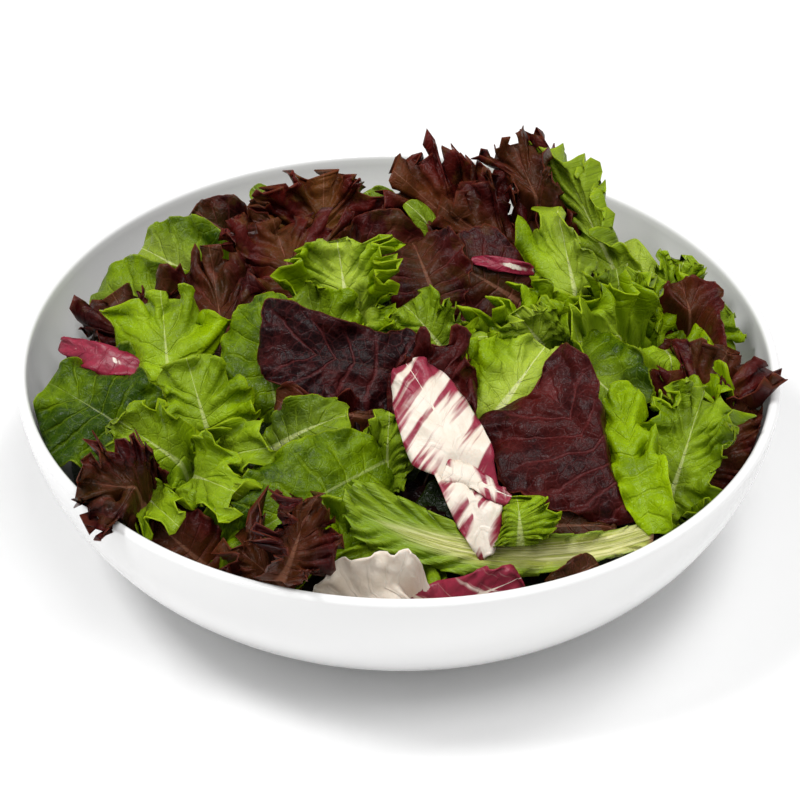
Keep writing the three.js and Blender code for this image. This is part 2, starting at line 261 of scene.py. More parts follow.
# The heart of the heap. The leaves pressed together below those that can be told apart, a dark,
# crumpled mass that follows the mound and the bowl's wall and that the leaves stand in. Its
# near-black colour is painted shade, for the shadow inside the heap.
MOUND_TOP = 88
MOUND_REACH = 120
MOUND_DROP_BACK = 46
MOUND_DROP_FRONT = 28
MOUND_POWER = 2.2
CORE_DEPTH = 11
CORE_EDGE = 120
CORE_CLEARANCE = 2
CORE_CRUMPLE = 3.5
CORE_CRUMPLE_SIZE = 14
CORE_CRUMPLE_ROUGHNESS = 0.8
CORE_CRUMPLE_LAYERS = 3
CORE_WALL_RUN = 1.6
CORE_FLOOR_RUN = 2.7
CORE_SIDES = 120
CORE_RINGS = 72
CORE_CREASE = math.radians(50)


def mound_height(x, y):
    """Height of the mound's surface, higher at the serving side, which faces -Y."""
    radius = math.hypot(x, y)
    front = (1 - y / radius) / 2 if radius > 0 else 0.5
    drop = MOUND_DROP_BACK + (MOUND_DROP_FRONT - MOUND_DROP_BACK) * front
    return MOUND_TOP - drop * (radius / MOUND_REACH) ** MOUND_POWER


def core_point(direction):
    """Where the core's surface lies in a direction from its middle."""
    reach = math.hypot(direction.x, direction.y)
    along = direction.x / max(reach, 1e-9)
    across = direction.y / max(reach, 1e-9)
    fallen = math.acos(max(-1, min(1, direction.z))) / math.pi
    edge = mound_height(along * CORE_EDGE, across * CORE_EDGE) - CORE_DEPTH
    lowest = FLOOR_THICKNESS + CORE_CLEARANCE
    if fallen <= 0.5:
        radius = fallen * 2 * (inner_radius(edge) - CORE_CLEARANCE)
        x, y = along * radius, across * radius
        where = Vector((x, y, 0)) / CORE_CRUMPLE_SIZE
        crumple = noise.fractal(where, CORE_CRUMPLE_ROUGHNESS, 2.0, CORE_CRUMPLE_LAYERS)
        level = mound_height(x, y) - CORE_DEPTH + CORE_CRUMPLE * crumple * (1 - fallen * 2)
        return Vector((x, y, level))
    down = (fallen - 0.5) * 2
    level = edge + (lowest - edge) * min(1, down * CORE_WALL_RUN)
    radius = (inner_radius(level) - CORE_CLEARANCE) * min(1, (1 - down) * CORE_FLOOR_RUN)
    return Vector((along * radius, across * radius, level))


def crushed_leaf():
    """Leaves too far down to be told apart: green and red patches painted near black as shade."""
    material, nodes, skin = new_material("crushed_leaf", {"IOR": 1.4})
    place = nodes.node("ShaderNodeTexCoord", {}, {}, "Object")
    # Painted shade: both patch colours are near black, for the shadow inside the heap.
    green = mix(mottle(place, 150.0), (0.004, 0.008, 0.001, 1), (0.02, 0.034, 0.002, 1))
    red = mix(mottle(place, 130.0), (0.004, 0.001, 0.001, 1), (0.018, 0.004, 0.004, 1))
    feed(
        skin,
        Base_Color=mix(step(mottle(place, 42.0), 0.47, 0.53), green, red),
        Roughness=0.5 + 0.2 * mottle(place, 200.0),
        Normal=bump(mottle(place, 260.0, 4.0), 0.002),
    )
    return material


core_mesh = bmesh.new()
bmesh.ops.create_uvsphere(core_mesh, u_segments=CORE_SIDES, v_segments=CORE_RINGS, radius=1)
for vert in core_mesh.verts:
    vert.co = core_point(vert.co) * MM
bmesh.ops.recalc_face_normals(core_mesh, faces=core_mesh.faces)
core = piece_from(core_mesh, "heap_core", crushed_leaf(), CORE_CREASE)
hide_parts("salad")

# Smooth green lettuce. Broad, thin, softly waved blades with a pale midrib and fine side veins.
# Each leaf is a sheet laid over the line from the base of its midrib to its tip, waved by rules,
# and then given its thickness. The numbers keep each leaf's waves those of the solid below it.
BASE_DEPTH = 5
SERVING = (0, -0.7, 0.7)
LEAF_THICKNESS = 0.45
LEAF_STEP = 1.15  # between the sheet's points
FRILL_STEP = 0.95  # the same where the leaf is frilly
CLEARANCE = 1.2  # between a leaf and the bowl
VEINS = 7  # side veins on each half of a blade
THIN_STALK = 3  # half a rib's width at its base, but no more than a sixth of the leaf's
THICK_STALK = 5  # the same where the leaf is nearly all rib
RIB_FLAT = 5  # how far from the rib the blade's waves have their full height
FEWEST_ROWS = 4  # of faces between midrib and margin
ON_MIDRIB = 1e-6
MIDRIB_WELD = 1e-7

# midrib is the share of the length that the midrib runs, full how square the blade is, forward how
# near the tip it is widest, lobes how deep its edge is cut. ruffle is how high the whole blade waves
# and waves how often. frills counts the waves round the margin, frill is their height, fold how far
# they turn over and reach how near the margin they keep; crisp is the height of the small waves on
# them. teeth cut the margin, rounded or, below 0, spiky. puff is how far the blade swells between
# its veins, and crinkle how rough it is.
KINDS = {
    "smooth": SimpleNamespace(
        midrib=0.8, full=0.75, forward=1.1, lobes=0.08, ruffle=2.6, waves=3, frills=12,
        frill=1.8, fold=0.05, reach=2.4, crisp=0.5, teeth=0.16, puff=0.9, crinkle=2.2,
    ),
    "lobed": SimpleNamespace(
        midrib=0.7, full=0.7, forward=1.2, lobes=0.16, ruffle=3.5, waves=3, frills=10,
        frill=3.8, fold=0.14, reach=2.0, crisp=1.0, teeth=0.45, puff=0.8, crinkle=2.2,
    ),
    "frilly": SimpleNamespace(
        midrib=0.72, full=0.6, forward=1.3, lobes=0.14, ruffle=4.5, waves=4, frills=18,
        frill=4.2, fold=0.2, reach=1.6, crisp=1.6, teeth=-0.6, puff=0.6, crinkle=3.0,
    ),
    "spiky": SimpleNamespace(
        midrib=0.6, full=0.6, forward=1.35, lobes=0.24, ruffle=5, waves=5, frills=20,
        frill=4.2, fold=0.24, reach=2.2, crisp=2.2, teeth=-0.75, puff=0.5, crinkle=4.5,
    ),
    "chicory": SimpleNamespace(
        midrib=0.85, full=0.6, forward=1, lobes=0.08, ruffle=2, waves=3, frills=9,
        frill=1.3, fold=0.05, reach=2.5, crisp=0.4, teeth=0.06, puff=0.9, crinkle=1.0,
    ),
    "stem": SimpleNamespace(
        midrib=0.9, full=0.8, forward=2.4, lobes=0.12, ruffle=3, waves=3, frills=22,
        frill=2.6, fold=0.14, reach=2.2, crisp=0.9, teeth=-0.25, puff=0.3, crinkle=0.8,
    ),
    "scrap": SimpleNamespace(
        midrib=0.85, full=0.6, forward=1, lobes=0.1, ruffle=1.2, waves=2, frills=6,
        frill=1.0, fold=0.05, reach=2.0, crisp=0.3, teeth=0.15, puff=0.3, crinkle=0.9,
    ),
}

# What all kinds share. A rate is how fast the noise changes along the margin, and a share is a part
# of the height that the kind gives.
FRILL_STRAY = 4.2
FRILL_STRAY_RATE = 0.3
FRILL_SWELL = 1.3
FRILL_SWELL_RATE = 0.35
SMALL_WAVES = 2.6
SMALL_STRAY = 4
SMALL_STRAY_RATE = 9
NICK_RATE = 0.6
NICK_MEAN = 0.35
FINE_NICK_RATE = 1.3
FINE_NICK_SHARE = 0.45
STALK_FADE = 5
MARGIN_LENGTH = 1.05
SECOND_LOBE_RATE = 1.7
SECOND_LOBE_SHARE = 0.5
LONG_WAVE_SHARE = 0.4
FINE_CRINKLE_SHARE = 0.4


def leaf(number, name, kind, base, tip, width, face=SERVING, arch=(4, 4), curl=(10, 10), sway=0,
         tone=0.5, pale=0.2, over=0, edge=(), deep=0):
    """A leaf's place and form. face is the way its upper side looks, arch how far the midrib bows
    up near the base and the tip, curl how many degrees the left and right halves bend up, sway how
    far the midrib bows to its left, tone from dull to bright, pale how far its rib's white spreads
    or, below 0, how little of the rib shows, over how much further up in the heap it lies than
    leaves as near the front, edge what is its own in the outline: places from -1 to 1 as for around,
    and how far out its margin lies there, and the last argument how far its colour is darkened
    towards black: painted shade for lying far down in the heap."""
    return SimpleNamespace(**locals())


def chance(number, use):
    """A number from 0 to 1 that a leaf keeps, worked out from its own number."""
    mixed = math.sin(number * 12.9898 + use * 78.233) * 43758.5453
    return mixed - math.floor(mixed)


def clear_of_bowl(point):
    """Moves a point in from the bowl's wall, or up from its lip and the slope outside it."""
    reach = math.hypot(point.x, point.y)
    if point.z < BOWL_HEIGHT - WALL / 2:
        limit = inner_radius(max(point.z, FLOOR_THICKNESS)) - CLEARANCE
        if reach > limit:
            point.x *= limit / reach
            point.y *= limit / reach
    elif reach > RIM_RADIUS - WALL - CLEARANCE:
        beyond = max(0, reach - RIM_RADIUS - CLEARANCE)
        point.z = max(point.z, BOWL_HEIGHT + CLEARANCE - beyond)
    return point


def own_margin(leaf, around):
    """How far out a leaf's margin lies there, as a share of where its kind has it."""
    for (start, first), (end, last) in zip(leaf.edge, leaf.edge[1:]):
        if start <= around <= end:
            return first + (last - first) * (around - start) / (end - start)
    return 1


def leaf_surface(leaf):
    """The function that says where a leaf's surface lies. around runs from -1 at the base, over the
    tip at 0, to 1 at the base again, and out from 0 at the midrib to 1 at the margin."""
    kind = KINDS[leaf.kind]
    ground = mound_height(*leaf.base[:2]) - BASE_DEPTH
    base = Vector(leaf.base if len(leaf.base) == 3 else (*leaf.base, ground))
    axis = Vector(leaf.tip) - base
    length = axis.length
    axis.normalize()
    up = Vector(leaf.face)
    up -= axis * up.dot(axis)
    up.normalize()
    side = up.cross(axis)
    stalk = THICK_STALK if leaf.kind == "stem" else min(THIN_STALK, leaf.width / 6)
    half = leaf.width / 2
    phase = [math.tau * chance(leaf.number + 1, use) for use in range(8)]

    def rough(x, y, layer):
        """A smooth random value from about -1 to 1, its own for each leaf and layer."""
        return noise.noise(Vector((x, y, leaf.number * 3.7 + layer)))

    def point(around, out):
        """The surface's point there, and the same point on the blade before it bends."""
        young = min(1, STALK_FADE * (1 - abs(around)))
        margin = out ** kind.reach * young
        stray = rough(around * kind.frills * FRILL_STRAY_RATE, out * 2.2, 1)
        swing = math.pi * kind.frills * around + FRILL_STRAY * stray + phase[5]
        height = 1 + FRILL_SWELL * rough(around * kind.frills * FRILL_SWELL_RATE, out, 2)
        small = SMALL_WAVES * swing + SMALL_STRAY * rough(around * SMALL_STRAY_RATE, out * 2.5, 5)
        shifted = around - kind.fold * 2 / kind.frills * math.sin(2 * swing) * margin
        to_tip = max(0, 1 - abs(shifted))
        nick = (
            abs(rough(around * kind.frills * NICK_RATE, 7, 6))
            + FINE_NICK_SHARE * abs(rough(around * kind.frills * FINE_NICK_RATE, 7, 7))
        )
        cut = 1 + kind.teeth * (nick - NICK_MEAN) * out ** 3 * young
        reach = out * cut * own_margin(leaf, around)

        bulge = math.sin(math.pi * to_tip ** kind.forward) ** kind.full if 0 < to_tip < 1 else 0
        lobes = (
            1
            + kind.lobes * math.sin(math.pi * kind.waves * shifted + phase[1])
            + kind.lobes * SECOND_LOBE_SHARE
            * math.sin(math.pi * kind.waves * SECOND_LOBE_RATE * shifted + phase[2])
        )
        stalk_here = stalk * (1 - to_tip)
        edge_y = stalk_here + (half - stalk_here) * bulge * lobes
        edge_x = length * (1 - math.cos(math.pi * to_tip)) / 2
        rib_x = length * kind.midrib * to_tip
        flat_x = rib_x + (edge_x - rib_x) * reach
        flat_y = edge_y * reach

        # The crinkles are about 9 mm and about 3.5 mm across, and each half of the blade has its own.
        blade = min(1, flat_y / RIB_FLAT)
        crossing = flat_y * math.copysign(1, around)
        lift = (
            kind.ruffle * out ** 2 * math.sin(math.pi * kind.waves * around + phase[3])
            + LONG_WAVE_SHARE * kind.ruffle * out
            * math.sin(math.pi * kind.waves * 0.5 * around + phase[4])
            + kind.frill * height * margin * math.sin(swing)
            + kind.crisp * margin * out ** 2 * math.sin(small)
            + kind.puff * abs(math.sin(math.pi * VEINS * to_tip)) * blade * (1 - out ** 4)
            + kind.crinkle * blade * rough(flat_x / 9, crossing * 0.11, 3)
            + FINE_CRINKLE_SHARE * kind.crinkle * blade * rough(flat_x / 3.5, crossing * 0.28, 4)
        )
        sign = -1 if shifted < 0 else 1
        curl = math.radians(leaf.curl[1] if shifted < 0 else leaf.curl[0])
        bend = curl / half or 1e-6
        turned = bend * flat_y
        across = (math.sin(turned) / bend - lift * math.sin(turned)) * sign
        raised = (1 - math.cos(turned)) / bend + lift * math.cos(turned)

        s = flat_x / length
        bow = 3 * s * (1 - s) ** 2 * leaf.arch[0] + 3 * s ** 2 * (1 - s) * leaf.arch[1]
        sideways = 4 * s * (1 - s) * leaf.sway
        place = base + axis * flat_x + side * (across + sideways) + up * (bow + raised)
        return clear_of_bowl(place), (flat_x, flat_y * sign)

    return point, length


def add_leaf(bm, leaf, spacing):
    """Adds one leaf's sheet to a bmesh, its two halves joined along the midrib. UV holds around and
    out, the attribute blade the place on the flat blade, and look the tone, paleness and painted
    shade."""
    surface, length = leaf_surface(leaf)
    margin = (length + leaf.width / 2) * MARGIN_LENGTH
    along = 2 * round(margin / spacing)
    outward = max(FEWEST_ROWS, round(leaf.width / 2 / spacing))
    uv = bm.loops.layers.uv["leaf"]
    blade = bm.verts.layers.float_vector["blade"]
    look = bm.verts.layers.float_vector["look"]
    sheet = bmesh.ops.create_grid(bm, x_segments=along, y_segments=outward, size=1)
    midrib = []
    for vert in sheet["verts"]:
        around = vert.co.x
        out = (vert.co.y + 1) / 2
        for loop in vert.link_loops:
            loop[uv].uv = ((around + 1) / 2, out)
        place, flat = surface(around, out)
        vert.co = place * MM
        vert[blade] = (flat[0], flat[1], leaf.number * 11.3)
        vert[look] = (leaf.tone, leaf.pale, leaf.deep)
        if out < ON_MIDRIB:
            midrib.append(vert)
    bmesh.ops.remove_doubles(bm, verts=midrib, dist=MIDRIB_WELD)
    return SimpleNamespace(leaf=leaf, verts=[vert for vert in sheet["verts"] if vert.is_valid])


LAID = []  # the pieces that wait for their leaves to settle


def lay_leaves(name, leaves, material, spacing=LEAF_STEP):
    """Lays the leaves of one kind as one piece. settle_heap and finish_leaves end the work."""
    bm = bmesh.new()
    bm.loops.layers.uv.new("leaf")
    bm.verts.layers.float_vector.new("blade")
    bm.verts.layers.float_vector.new("look")
    sheets = [add_leaf(bm, each, spacing) for each in leaves]
    LAID.append(SimpleNamespace(name=name, bm=bm, sheets=sheets, material=material))


def split(vector):
    """The three parts of a vector."""
    made = vector.tree.nodes.new("ShaderNodeSeparateXYZ")
    vector.tree.links.new(vector.socket, made.inputs[0])
    return [Shade(vector.tree, socket) for socket in made.outputs]


def carried(nodes, name):
    """The vector that a leaf's points carry under a name."""
    return nodes.node("ShaderNodeAttribute", {"attribute_name": name}, {}, "Vector")


def vein_net(vector, scale, width):
    """A net of veins between cells, scale of them to each unit of vector."""
    from_vein = vector.node(
        "ShaderNodeTexVoronoi", {"feature": "DISTANCE_TO_EDGE"}, {"Vector": vector, "Scale": scale}
    )
    return 1 - step(from_vein, 0.0, width)


def leaf_marks(nodes):
    """What a leaf's finish is reckoned from: its tone, paleness and painted shade, and its
    veins' masks.
    """
    around, out, _ = split(nodes.node("ShaderNodeUVMap", {"uv_map": "leaf"}, {}))
    flat = carried(nodes, "blade")
    tone, pale, deep = split(carried(nodes, "look"))
    from_rib = split(flat)[1].math("ABSOLUTE", split(flat)[1])
    to_tip = 1 - (2 * around - 1).math("ABSOLUTE", 2 * around - 1)
    wander = mottle(flat, 0.09) - 0.5
    count = to_tip * VEINS + wander * 0.7
    gap = nodes.math("PINGPONG", count, 0.5)
    side_vein = (1 - step(gap, 0.02, 0.11)) * (1 - step(out, 0.55, 0.98))
    width = (1.08 - to_tip) * (1.3 + 1.6 * pale)
    rib = 1 - step(from_rib.math("DIVIDE", from_rib, width), 0.5, 1.15)
    stray = flat.node("ShaderNodeTexNoise", {}, {"Vector": flat, "Scale": 0.25}, "Color")
    bent = flat.node("ShaderNodeVectorMath", {"operation": "ADD"}, {0: flat, 1: stray})
    return SimpleNamespace(
        flat=flat,
        out=out,
        to_tip=to_tip,
        from_rib=from_rib,
        tone=tone,
        pale=pale,
        deep=deep,
        side_vein=side_vein,
        rib=rib,
        net=vein_net(bent, 0.24, 0.09),
        fine_net=vein_net(bent, 0.62, 0.16),
    )


def green_leaf():
    """Green lettuce: yellow-green to dark green, lighter along its veins, with a painted highlight
    along its margin.
    """
    material, nodes, skin = new_material(
        "green_leaf",
        {
            "IOR": 1.4,
            "Specular IOR Level": 0.17,
            "Subsurface Weight": 0.25,
            "Subsurface Radius": (1.0, 1.0, 0.1),
            "Subsurface Scale": 0.0012,
        },
    )
    m = leaf_marks(nodes)
    patches = mottle(m.flat, 0.07, 3.0) - 0.5
    grain = mottle(m.flat, 0.5, 2.0) - 0.5
    tone = m.tone - 0.12 + 1.6 * patches + 0.4 * grain
    blade = mix(tone, (0.018, 0.045, 0.0005, 1), (0.25, 0.385, 0.0005, 1))
    veins = (0.3 * m.side_vein + 0.13 * m.net + 0.08 * m.fine_net) * (0.35 + 0.65 * m.tone)
    lit = mix(veins, blade, (0.3, 0.43, 0.01, 1))
    spread = (1 - step(m.from_rib, 1.0, 15.0)) * m.pale
    heart = mix(spread * 0.85, lit, (0.36, 0.46, 0.05, 1))
    ribbed = mix(m.rib * (0.45 + 0.5 * m.pale), heart, (0.55, 0.6, 0.24, 1))
    # Painted highlight: the margin and its cut edge are lightened as if lit.
    edged = mix(step(m.out, 0.965, 1.0) * 0.35, ribbed, (0.36, 0.46, 0.01, 1))
    feed(
        skin,
        # Painted shade: leaves marked as lying far down in the heap run towards near black.
        Base_Color=mix(m.deep, edged, (0.003, 0.007, 0.0005, 1)),
        Roughness=0.18 + 0.2 * mottle(m.flat, 0.3) + 0.05 * m.net,
        Normal=bump(
            0.8 * mottle(m.flat, 0.22, 5.0) - 0.5 * m.side_vein - 0.16 * m.net - 0.08 * m.fine_net,
            0.001,
            0.8,
        ),
    )
    return material


GREEN_LEAF = green_leaf()
SMOOTH_GREEN = [
    leaf(2, "scrap back left", "scrap", base=(-36, 92), tip=(-58, 101, 81), width=12),
    leaf(6, "scrap back mid", "scrap", base=(4, 78), tip=(-14, 95, 84), width=18, tone=0.4),
    leaf(7, "green sliver", "scrap", base=(30, 60), tip=(2, 66, 98), width=10, tone=0.4),
    leaf(21, "rib piece right", "scrap", base=(108, 38), tip=(86, 68, 80), width=18, tone=0.8,
         pale=1),
    leaf(26, "blade right", "smooth", base=(88, -98, 72), tip=(77, -42, 93), width=26,
         face=(-0.2, -0.8, 0.6), arch=(8, 6), tone=0.9, pale=-0.7, over=60,
         edge=((-1, 1), (-0.3, 0.9), (0, 1), (0.1, 0.7), (1, 0.6))),
    leaf(27, "under right", "smooth", base=(58, 2), tip=(84, -42, 80), width=38, arch=(8, 8),
         tone=0.2, over=-10),
    leaf(38, "oval left", "smooth", base=(-42, -44), tip=(-50, -2, 100), width=34,
         face=(-0.2, -0.8, 0.6), arch=(4, 8), curl=(0, 30), tone=0.4, pale=-0.4, over=20),
    leaf(40, "green top left", "smooth", base=(-58, 30), tip=(-100, 58, 82), width=40,
         face=(0, -0.7, 0.7), arch=(10, 8), tone=0.4, pale=0.5),
    leaf(41, "green far left", "smooth", base=(-66, 26), tip=(-117, 44, 64), width=40,
         face=(-0.3, -0.6, 0.7), arch=(10, 8), tone=0.4, pale=0.3),
    leaf(45, "dull left", "smooth", base=(-88, -42), tip=(-127, -19, 74), width=50,
         face=(-0.2, -0.5, 0.85), arch=(8, 6), tone=0.15, pale=-0.4),
    leaf(51, "big front", "smooth", base=(-4, -70, 80), tip=(-67, -112, 67), width=46, arch=(8, 6),
         tone=0.45, pale=-0.4, over=5),
    leaf(52, "small dark front", "smooth", base=(-46, -58), tip=(-17, -58, 91), width=24,
         face=(0, -0.6, 0.8), arch=(8, 8), tone=0.35),
]


# The rest of the ring, behind the leaves that the serving side shows, repeats three kinds.
BACK_FIRST = 65
BACK_LEAVES = 9
BACK_FROM = math.radians(20)
BACK_TO = math.radians(160)
BACK_TURN = 0.16
BACK_INNER = 70
BACK_OUTER = 116
BACK_TIP_RISE = 3
BACK_WIDTH = 38
BACK_LEAN = 0.6


def back_leaf(i, kind, tone):
    """One of the leaves at the back, its base near the middle and its tip near the wall."""
    angle = BACK_FROM + (BACK_TO - BACK_FROM) * i / (BACK_LEAVES - 1)
    turn = angle + (BACK_TURN if i % 2 else -BACK_TURN)
    u, v = math.cos(turn) * BACK_OUTER, math.sin(turn) * BACK_OUTER
    return leaf(
        BACK_FIRST + i,
        f"back {i}",
        kind,
        base=(math.cos(angle) * BACK_INNER, math.sin(angle) * BACK_INNER),
        tip=(u, v, mound_height(u, v) + BACK_TIP_RISE),
        width=BACK_WIDTH,
        face=(math.cos(angle) * BACK_LEAN, math.sin(angle) * BACK_LEAN, 0.8),
        arch=(5, 3),
        tone=tone,
    )


BACK_SMOOTH = [back_leaf(i, "smooth", 0.45) for i in range(1, BACK_LEAVES, 3)]
lay_leaves("smooth_green_leaves", SMOOTH_GREEN + BACK_SMOOTH, GREEN_LEAF)

# Ruffled green lettuce. The same soft leaf with a margin that grows in waves, so it folds over
# itself and shows its lit edge. The lobed ones are the bright bunch at the front left.
LOBED_GREEN = [
    leaf(15, "green rib back", "lobed", base=(72, 4), tip=(59, 50, 107), width=30,
         face=(-0.2, -0.9, 0.4), arch=(8, 6), curl=(30, 30), tone=0.75, pale=0.6,
         edge=((-1, 0.5), (-0.1, 0.6), (0.05, 1.1), (0.15, 0.8), (0.3, 1.5), (0.45, 0.7), (1, 0.7))),
    leaf(33, "rib mid", "lobed", base=(25, -60), tip=(53, -22, 97), width=40, arch=(6, 6),
         tone=0.75, pale=1),
    leaf(37, "frill left low", "lobed", base=(-16, -6), tip=(-41, 4, 96), width=30, tone=0.7),
    leaf(39, "bright left", "lobed", base=(-80, -38), tip=(-87, 8, 97), width=40, arch=(8, 8),
         tone=0.8,
         edge=((-1, 0.6), (-0.5, 0.5), (-0.36, 1.2), (-0.24, 0.75), (-0.13, 1.15), (-0.03, 0.8),
               (0.1, 0.8), (0.25, 1.2), (0.38, 0.65), (0.5, 0.9), (1, 0.7))),
    leaf(46, "cluster upper", "lobed", base=(-64, -56), tip=(-75, -33, 95), width=34, arch=(6, 6),
         tone=0.7, edge=((-1, 1), (-0.4, 1.1), (-0.3, 0.7), (-0.1, 1.2), (0.2, 0.8), (1, 1))),
    leaf(47, "cluster left", "lobed", base=(-68, -64), tip=(-100, -57, 88), width=28, arch=(8, 8),
         curl=(40, 40), tone=0.7, over=20),
    leaf(48, "cluster right", "lobed", base=(-72, -58), tip=(-45, -76, 90), width=26, arch=(8, 8),
         tone=0.75, over=40, edge=((-1, 1), (-0.3, 0.8), (0, 1.1), (0.3, 0.8), (1, 1))),
    leaf(49, "cluster front left", "lobed", base=(-86, -68), tip=(-76, -100, 76), width=26,
         arch=(10, 8), curl=(30, 30), tone=0.8, over=30,
         edge=((-1, 1), (-0.3, 0.7), (0, 1.5), (0.3, 0.6), (1, 1))),
    leaf(50, "cluster front right", "lobed", base=(-70, -64), tip=(-56, -94, 85), width=26,
         arch=(10, 8), tone=0.75, over=40,
         edge=((-1, 1), (-0.3, 0.7), (0, 1.4), (0.2, 0.8), (0.4, 1.2), (1, 1))),
]
FRILLY_GREEN = [
    leaf(14, "green upright", "frilly", base=(98, 34), tip=(59, 88, 110), width=23,
         face=(-0.3, -0.9, 0.4), arch=(6, 2), curl=(30, 60), tone=0.65, pale=0.4, over=20,
         edge=((-1, 0.8), (-0.3, 0.8), (-0.08, 0.7), (0, 1), (0.15, 1.2), (0.3, 0.8), (1, 0.9))),
    leaf(18, "frill right upper", "frilly", base=(98, 22), tip=(64, -12, 100), width=38, arch=(8, 8),
         tone=0.75, pale=0.3),
    leaf(19, "frill right outer", "frilly", base=(92, 14), tip=(120, 26, 82), width=38, arch=(6, 8),
         tone=0.65),
    leaf(20, "frill right lower", "frilly", base=(98, 20), tip=(101, -36, 84), width=36,
         arch=(14, 14), tone=0.75),
    leaf(25, "curl right", "frilly", base=(92, -74), tip=(108, -36, 86), width=32, arch=(12, 8),
         curl=(50, 50), tone=0.6, over=90),
    leaf(34, "frill mid", "frilly", base=(76, 14), tip=(22, -22, 100), width=36, arch=(12, 8),
         tone=0.75, pale=0.3),
    leaf(35, "frill behind red", "frilly", base=(20, -16), tip=(2, -6, 102), width=28, tone=0.6),
    leaf(36, "frill left tall", "frilly", base=(-16, -6), tip=(-23, 20, 110), width=40,
         face=(0, -1, 0.3), curl=(50, 50), tone=0.75, pale=1),
    leaf(53, "frill small mid", "frilly", base=(-4, -76), tip=(-3, -66, 98), width=20, tone=0.6),
    leaf(54, "frill front", "frilly", base=(20, -104), tip=(-36, -102, 82), width=26, arch=(6, 6),
         tone=0.6, over=-20),
    leaf(75, "frill far right upper", "frilly", base=(96, 34), tip=(108, 52, 84), width=24, tone=0.7,
         over=30),
    leaf(76, "frill right middle", "frilly", base=(84, 14), tip=(80, 24, 97), width=28,
         face=(0, -1, 0.4), tone=0.6, over=20),
    leaf(77, "frill right inner", "frilly", base=(54, -2), tip=(42, -8, 100), width=24, tone=0.7,
         pale=0.6, over=30),
    leaf(56, "frill small front", "frilly", base=(42, -108, 74), tip=(41, -98, 87), width=24,
         tone=0.75),
]
BACK_FRILLY = [back_leaf(i, "frilly", 0.6) for i in range(0, BACK_LEAVES, 3)]
lay_leaves("lobed_green_leaves", LOBED_GREEN, GREEN_LEAF)
lay_leaves("frilly_green_leaves", FRILLY_GREEN + BACK_FRILLY, GREEN_LEAF, FRILL_STEP)


# Smooth red lettuce. Nearly black where the blade is thick, brown-red where light comes through,
# with a waxy bloom and a net of faint veins.
def red_leaf():
    """Red lettuce: maroon, paler along its veins, with green or cream spreading from the rib."""
    material, nodes, skin = new_material(
        "red_leaf",
        {
            "IOR": 1.42,
            "Specular IOR Level": 0.13,
            "Subsurface Weight": 0.15,
            "Subsurface Radius": (1.0, 0.3, 0.2),
            "Subsurface Scale": 0.001,
        },
    )
    m = leaf_marks(nodes)
    tone = m.tone + 1.2 * (mottle(m.flat, 0.08, 3.0) - 0.5) + 0.4 * (mottle(m.flat, 0.6) - 0.5)
    blade = mix(tone, (0.007, 0.001, 0.0016, 1), (0.09, 0.0075, 0.005, 1))
    veined = mix(m.side_vein * 0.3 + m.net * 0.14 + m.fine_net * 0.08, blade, (0.15, 0.03, 0.03, 1))
    blotch = step(mottle(m.flat, 0.13, 4.0), 0.5, 0.62)
    spread = (1 - step(m.from_rib, 0.5, 12.0) * (1 - blotch)) * m.pale
    heart = mix(spread * 0.65, veined, (0.15, 0.1, 0.012, 1))
    ribbed = mix(m.rib * (0.32 + 0.5 * m.pale), heart, (0.28, 0.12, 0.07, 1))
    # Painted light: the margin and its cut edge are lightened to brown-red, as if lit through the
    # thin leaf.
    edged = mix(step(m.out, 0.97, 1.0) * 0.5, ribbed, (0.14, 0.03, 0.015, 1))
    feed(
        skin,
        # Painted shade: leaves marked as lying far down in the heap run towards near black.
        Base_Color=mix(m.deep, edged, (0.004, 0.001, 0.001, 1)),
        Roughness=0.2 + 0.22 * mottle(m.flat, 0.3),
        Normal=bump(
            0.9 * mottle(m.flat, 0.2, 5.0) - 0.4 * m.side_vein - 0.1 * m.net - 0.05 * m.fine_net,
            0.001,
            0.8,
        ),
    )
    return material


RED_LEAF = red_leaf()
SMOOTH_RED = [
    leaf(0, "dark back left", "smooth", base=(-48, 84), tip=(-82, 96, 74), width=26,
         face=(0, -0.8, 0.6), tone=0.1),
    leaf(5, "brown arch", "smooth", base=(-25, 62), tip=(12, 54, 80), width=34, arch=(22, 22),
         tone=0.45),
    leaf(11, "dark mid left", "smooth", base=(16, 12), tip=(4, 42, 98), width=36, curl=(30, 30),
         tone=0.3),
    leaf(12, "dark mid right", "smooth", base=(52, 26), tip=(15, 32, 97), width=38, arch=(8, 4),
         tone=0.25),
    leaf(17, "dark strip right", "scrap", base=(72, 22), tip=(66, 32, 92), width=16, tone=0.2),
    leaf(22, "red right back", "smooth", base=(114, -4, 68), tip=(105, 33, 86), width=26,
         face=(0.1, -1, 0.2), curl=(30, 30), tone=0.5),
    leaf(28, "red big right", "smooth", base=(83, -92, 74), tip=(50, -44, 97), width=60,
         face=(-0.1, -0.6, 0.8), arch=(6, 6), tone=0.3, pale=-0.6,
         edge=((-1, 0.5), (-0.3, 0.5), (-0.12, 1.1), (-0.05, 1.6), (0.03, 0.8), (0.15, 1.3),
               (0.5, 1.1), (0.6, 0.9), (1, 0.5))),
    leaf(29, "red big left", "smooth", base=(14, -32, 86), tip=(-50, -27, 98), width=40, arch=(8, 6),
         tone=0.05, pale=-0.5, over=20,
         edge=((-1, 0.8), (-0.7, 0.9), (-0.6, 0.65), (-0.3, 0.9), (-0.15, 1.3), (0, 1), (1, 0.8))),
    leaf(30, "red fold left", "smooth", base=(6, -46), tip=(-43, -50, 90), width=30,
         face=(0, -0.9, 0.4), arch=(6, 4), tone=0.5),
    leaf(62, "red under front", "smooth", base=(36, -88), tip=(76, -94, 72), width=30, tone=0.2,
         over=-30),
    leaf(63, "small red front", "scrap", base=(52, -122, 66), tip=(68, -115, 73), width=12,
         tone=0.2),
    leaf(64, "brown front left", "smooth", base=(-60, -104), tip=(-84, -94, 72), width=28, tone=0.5),
]
lay_leaves("smooth_red_leaves", SMOOTH_RED, RED_LEAF)

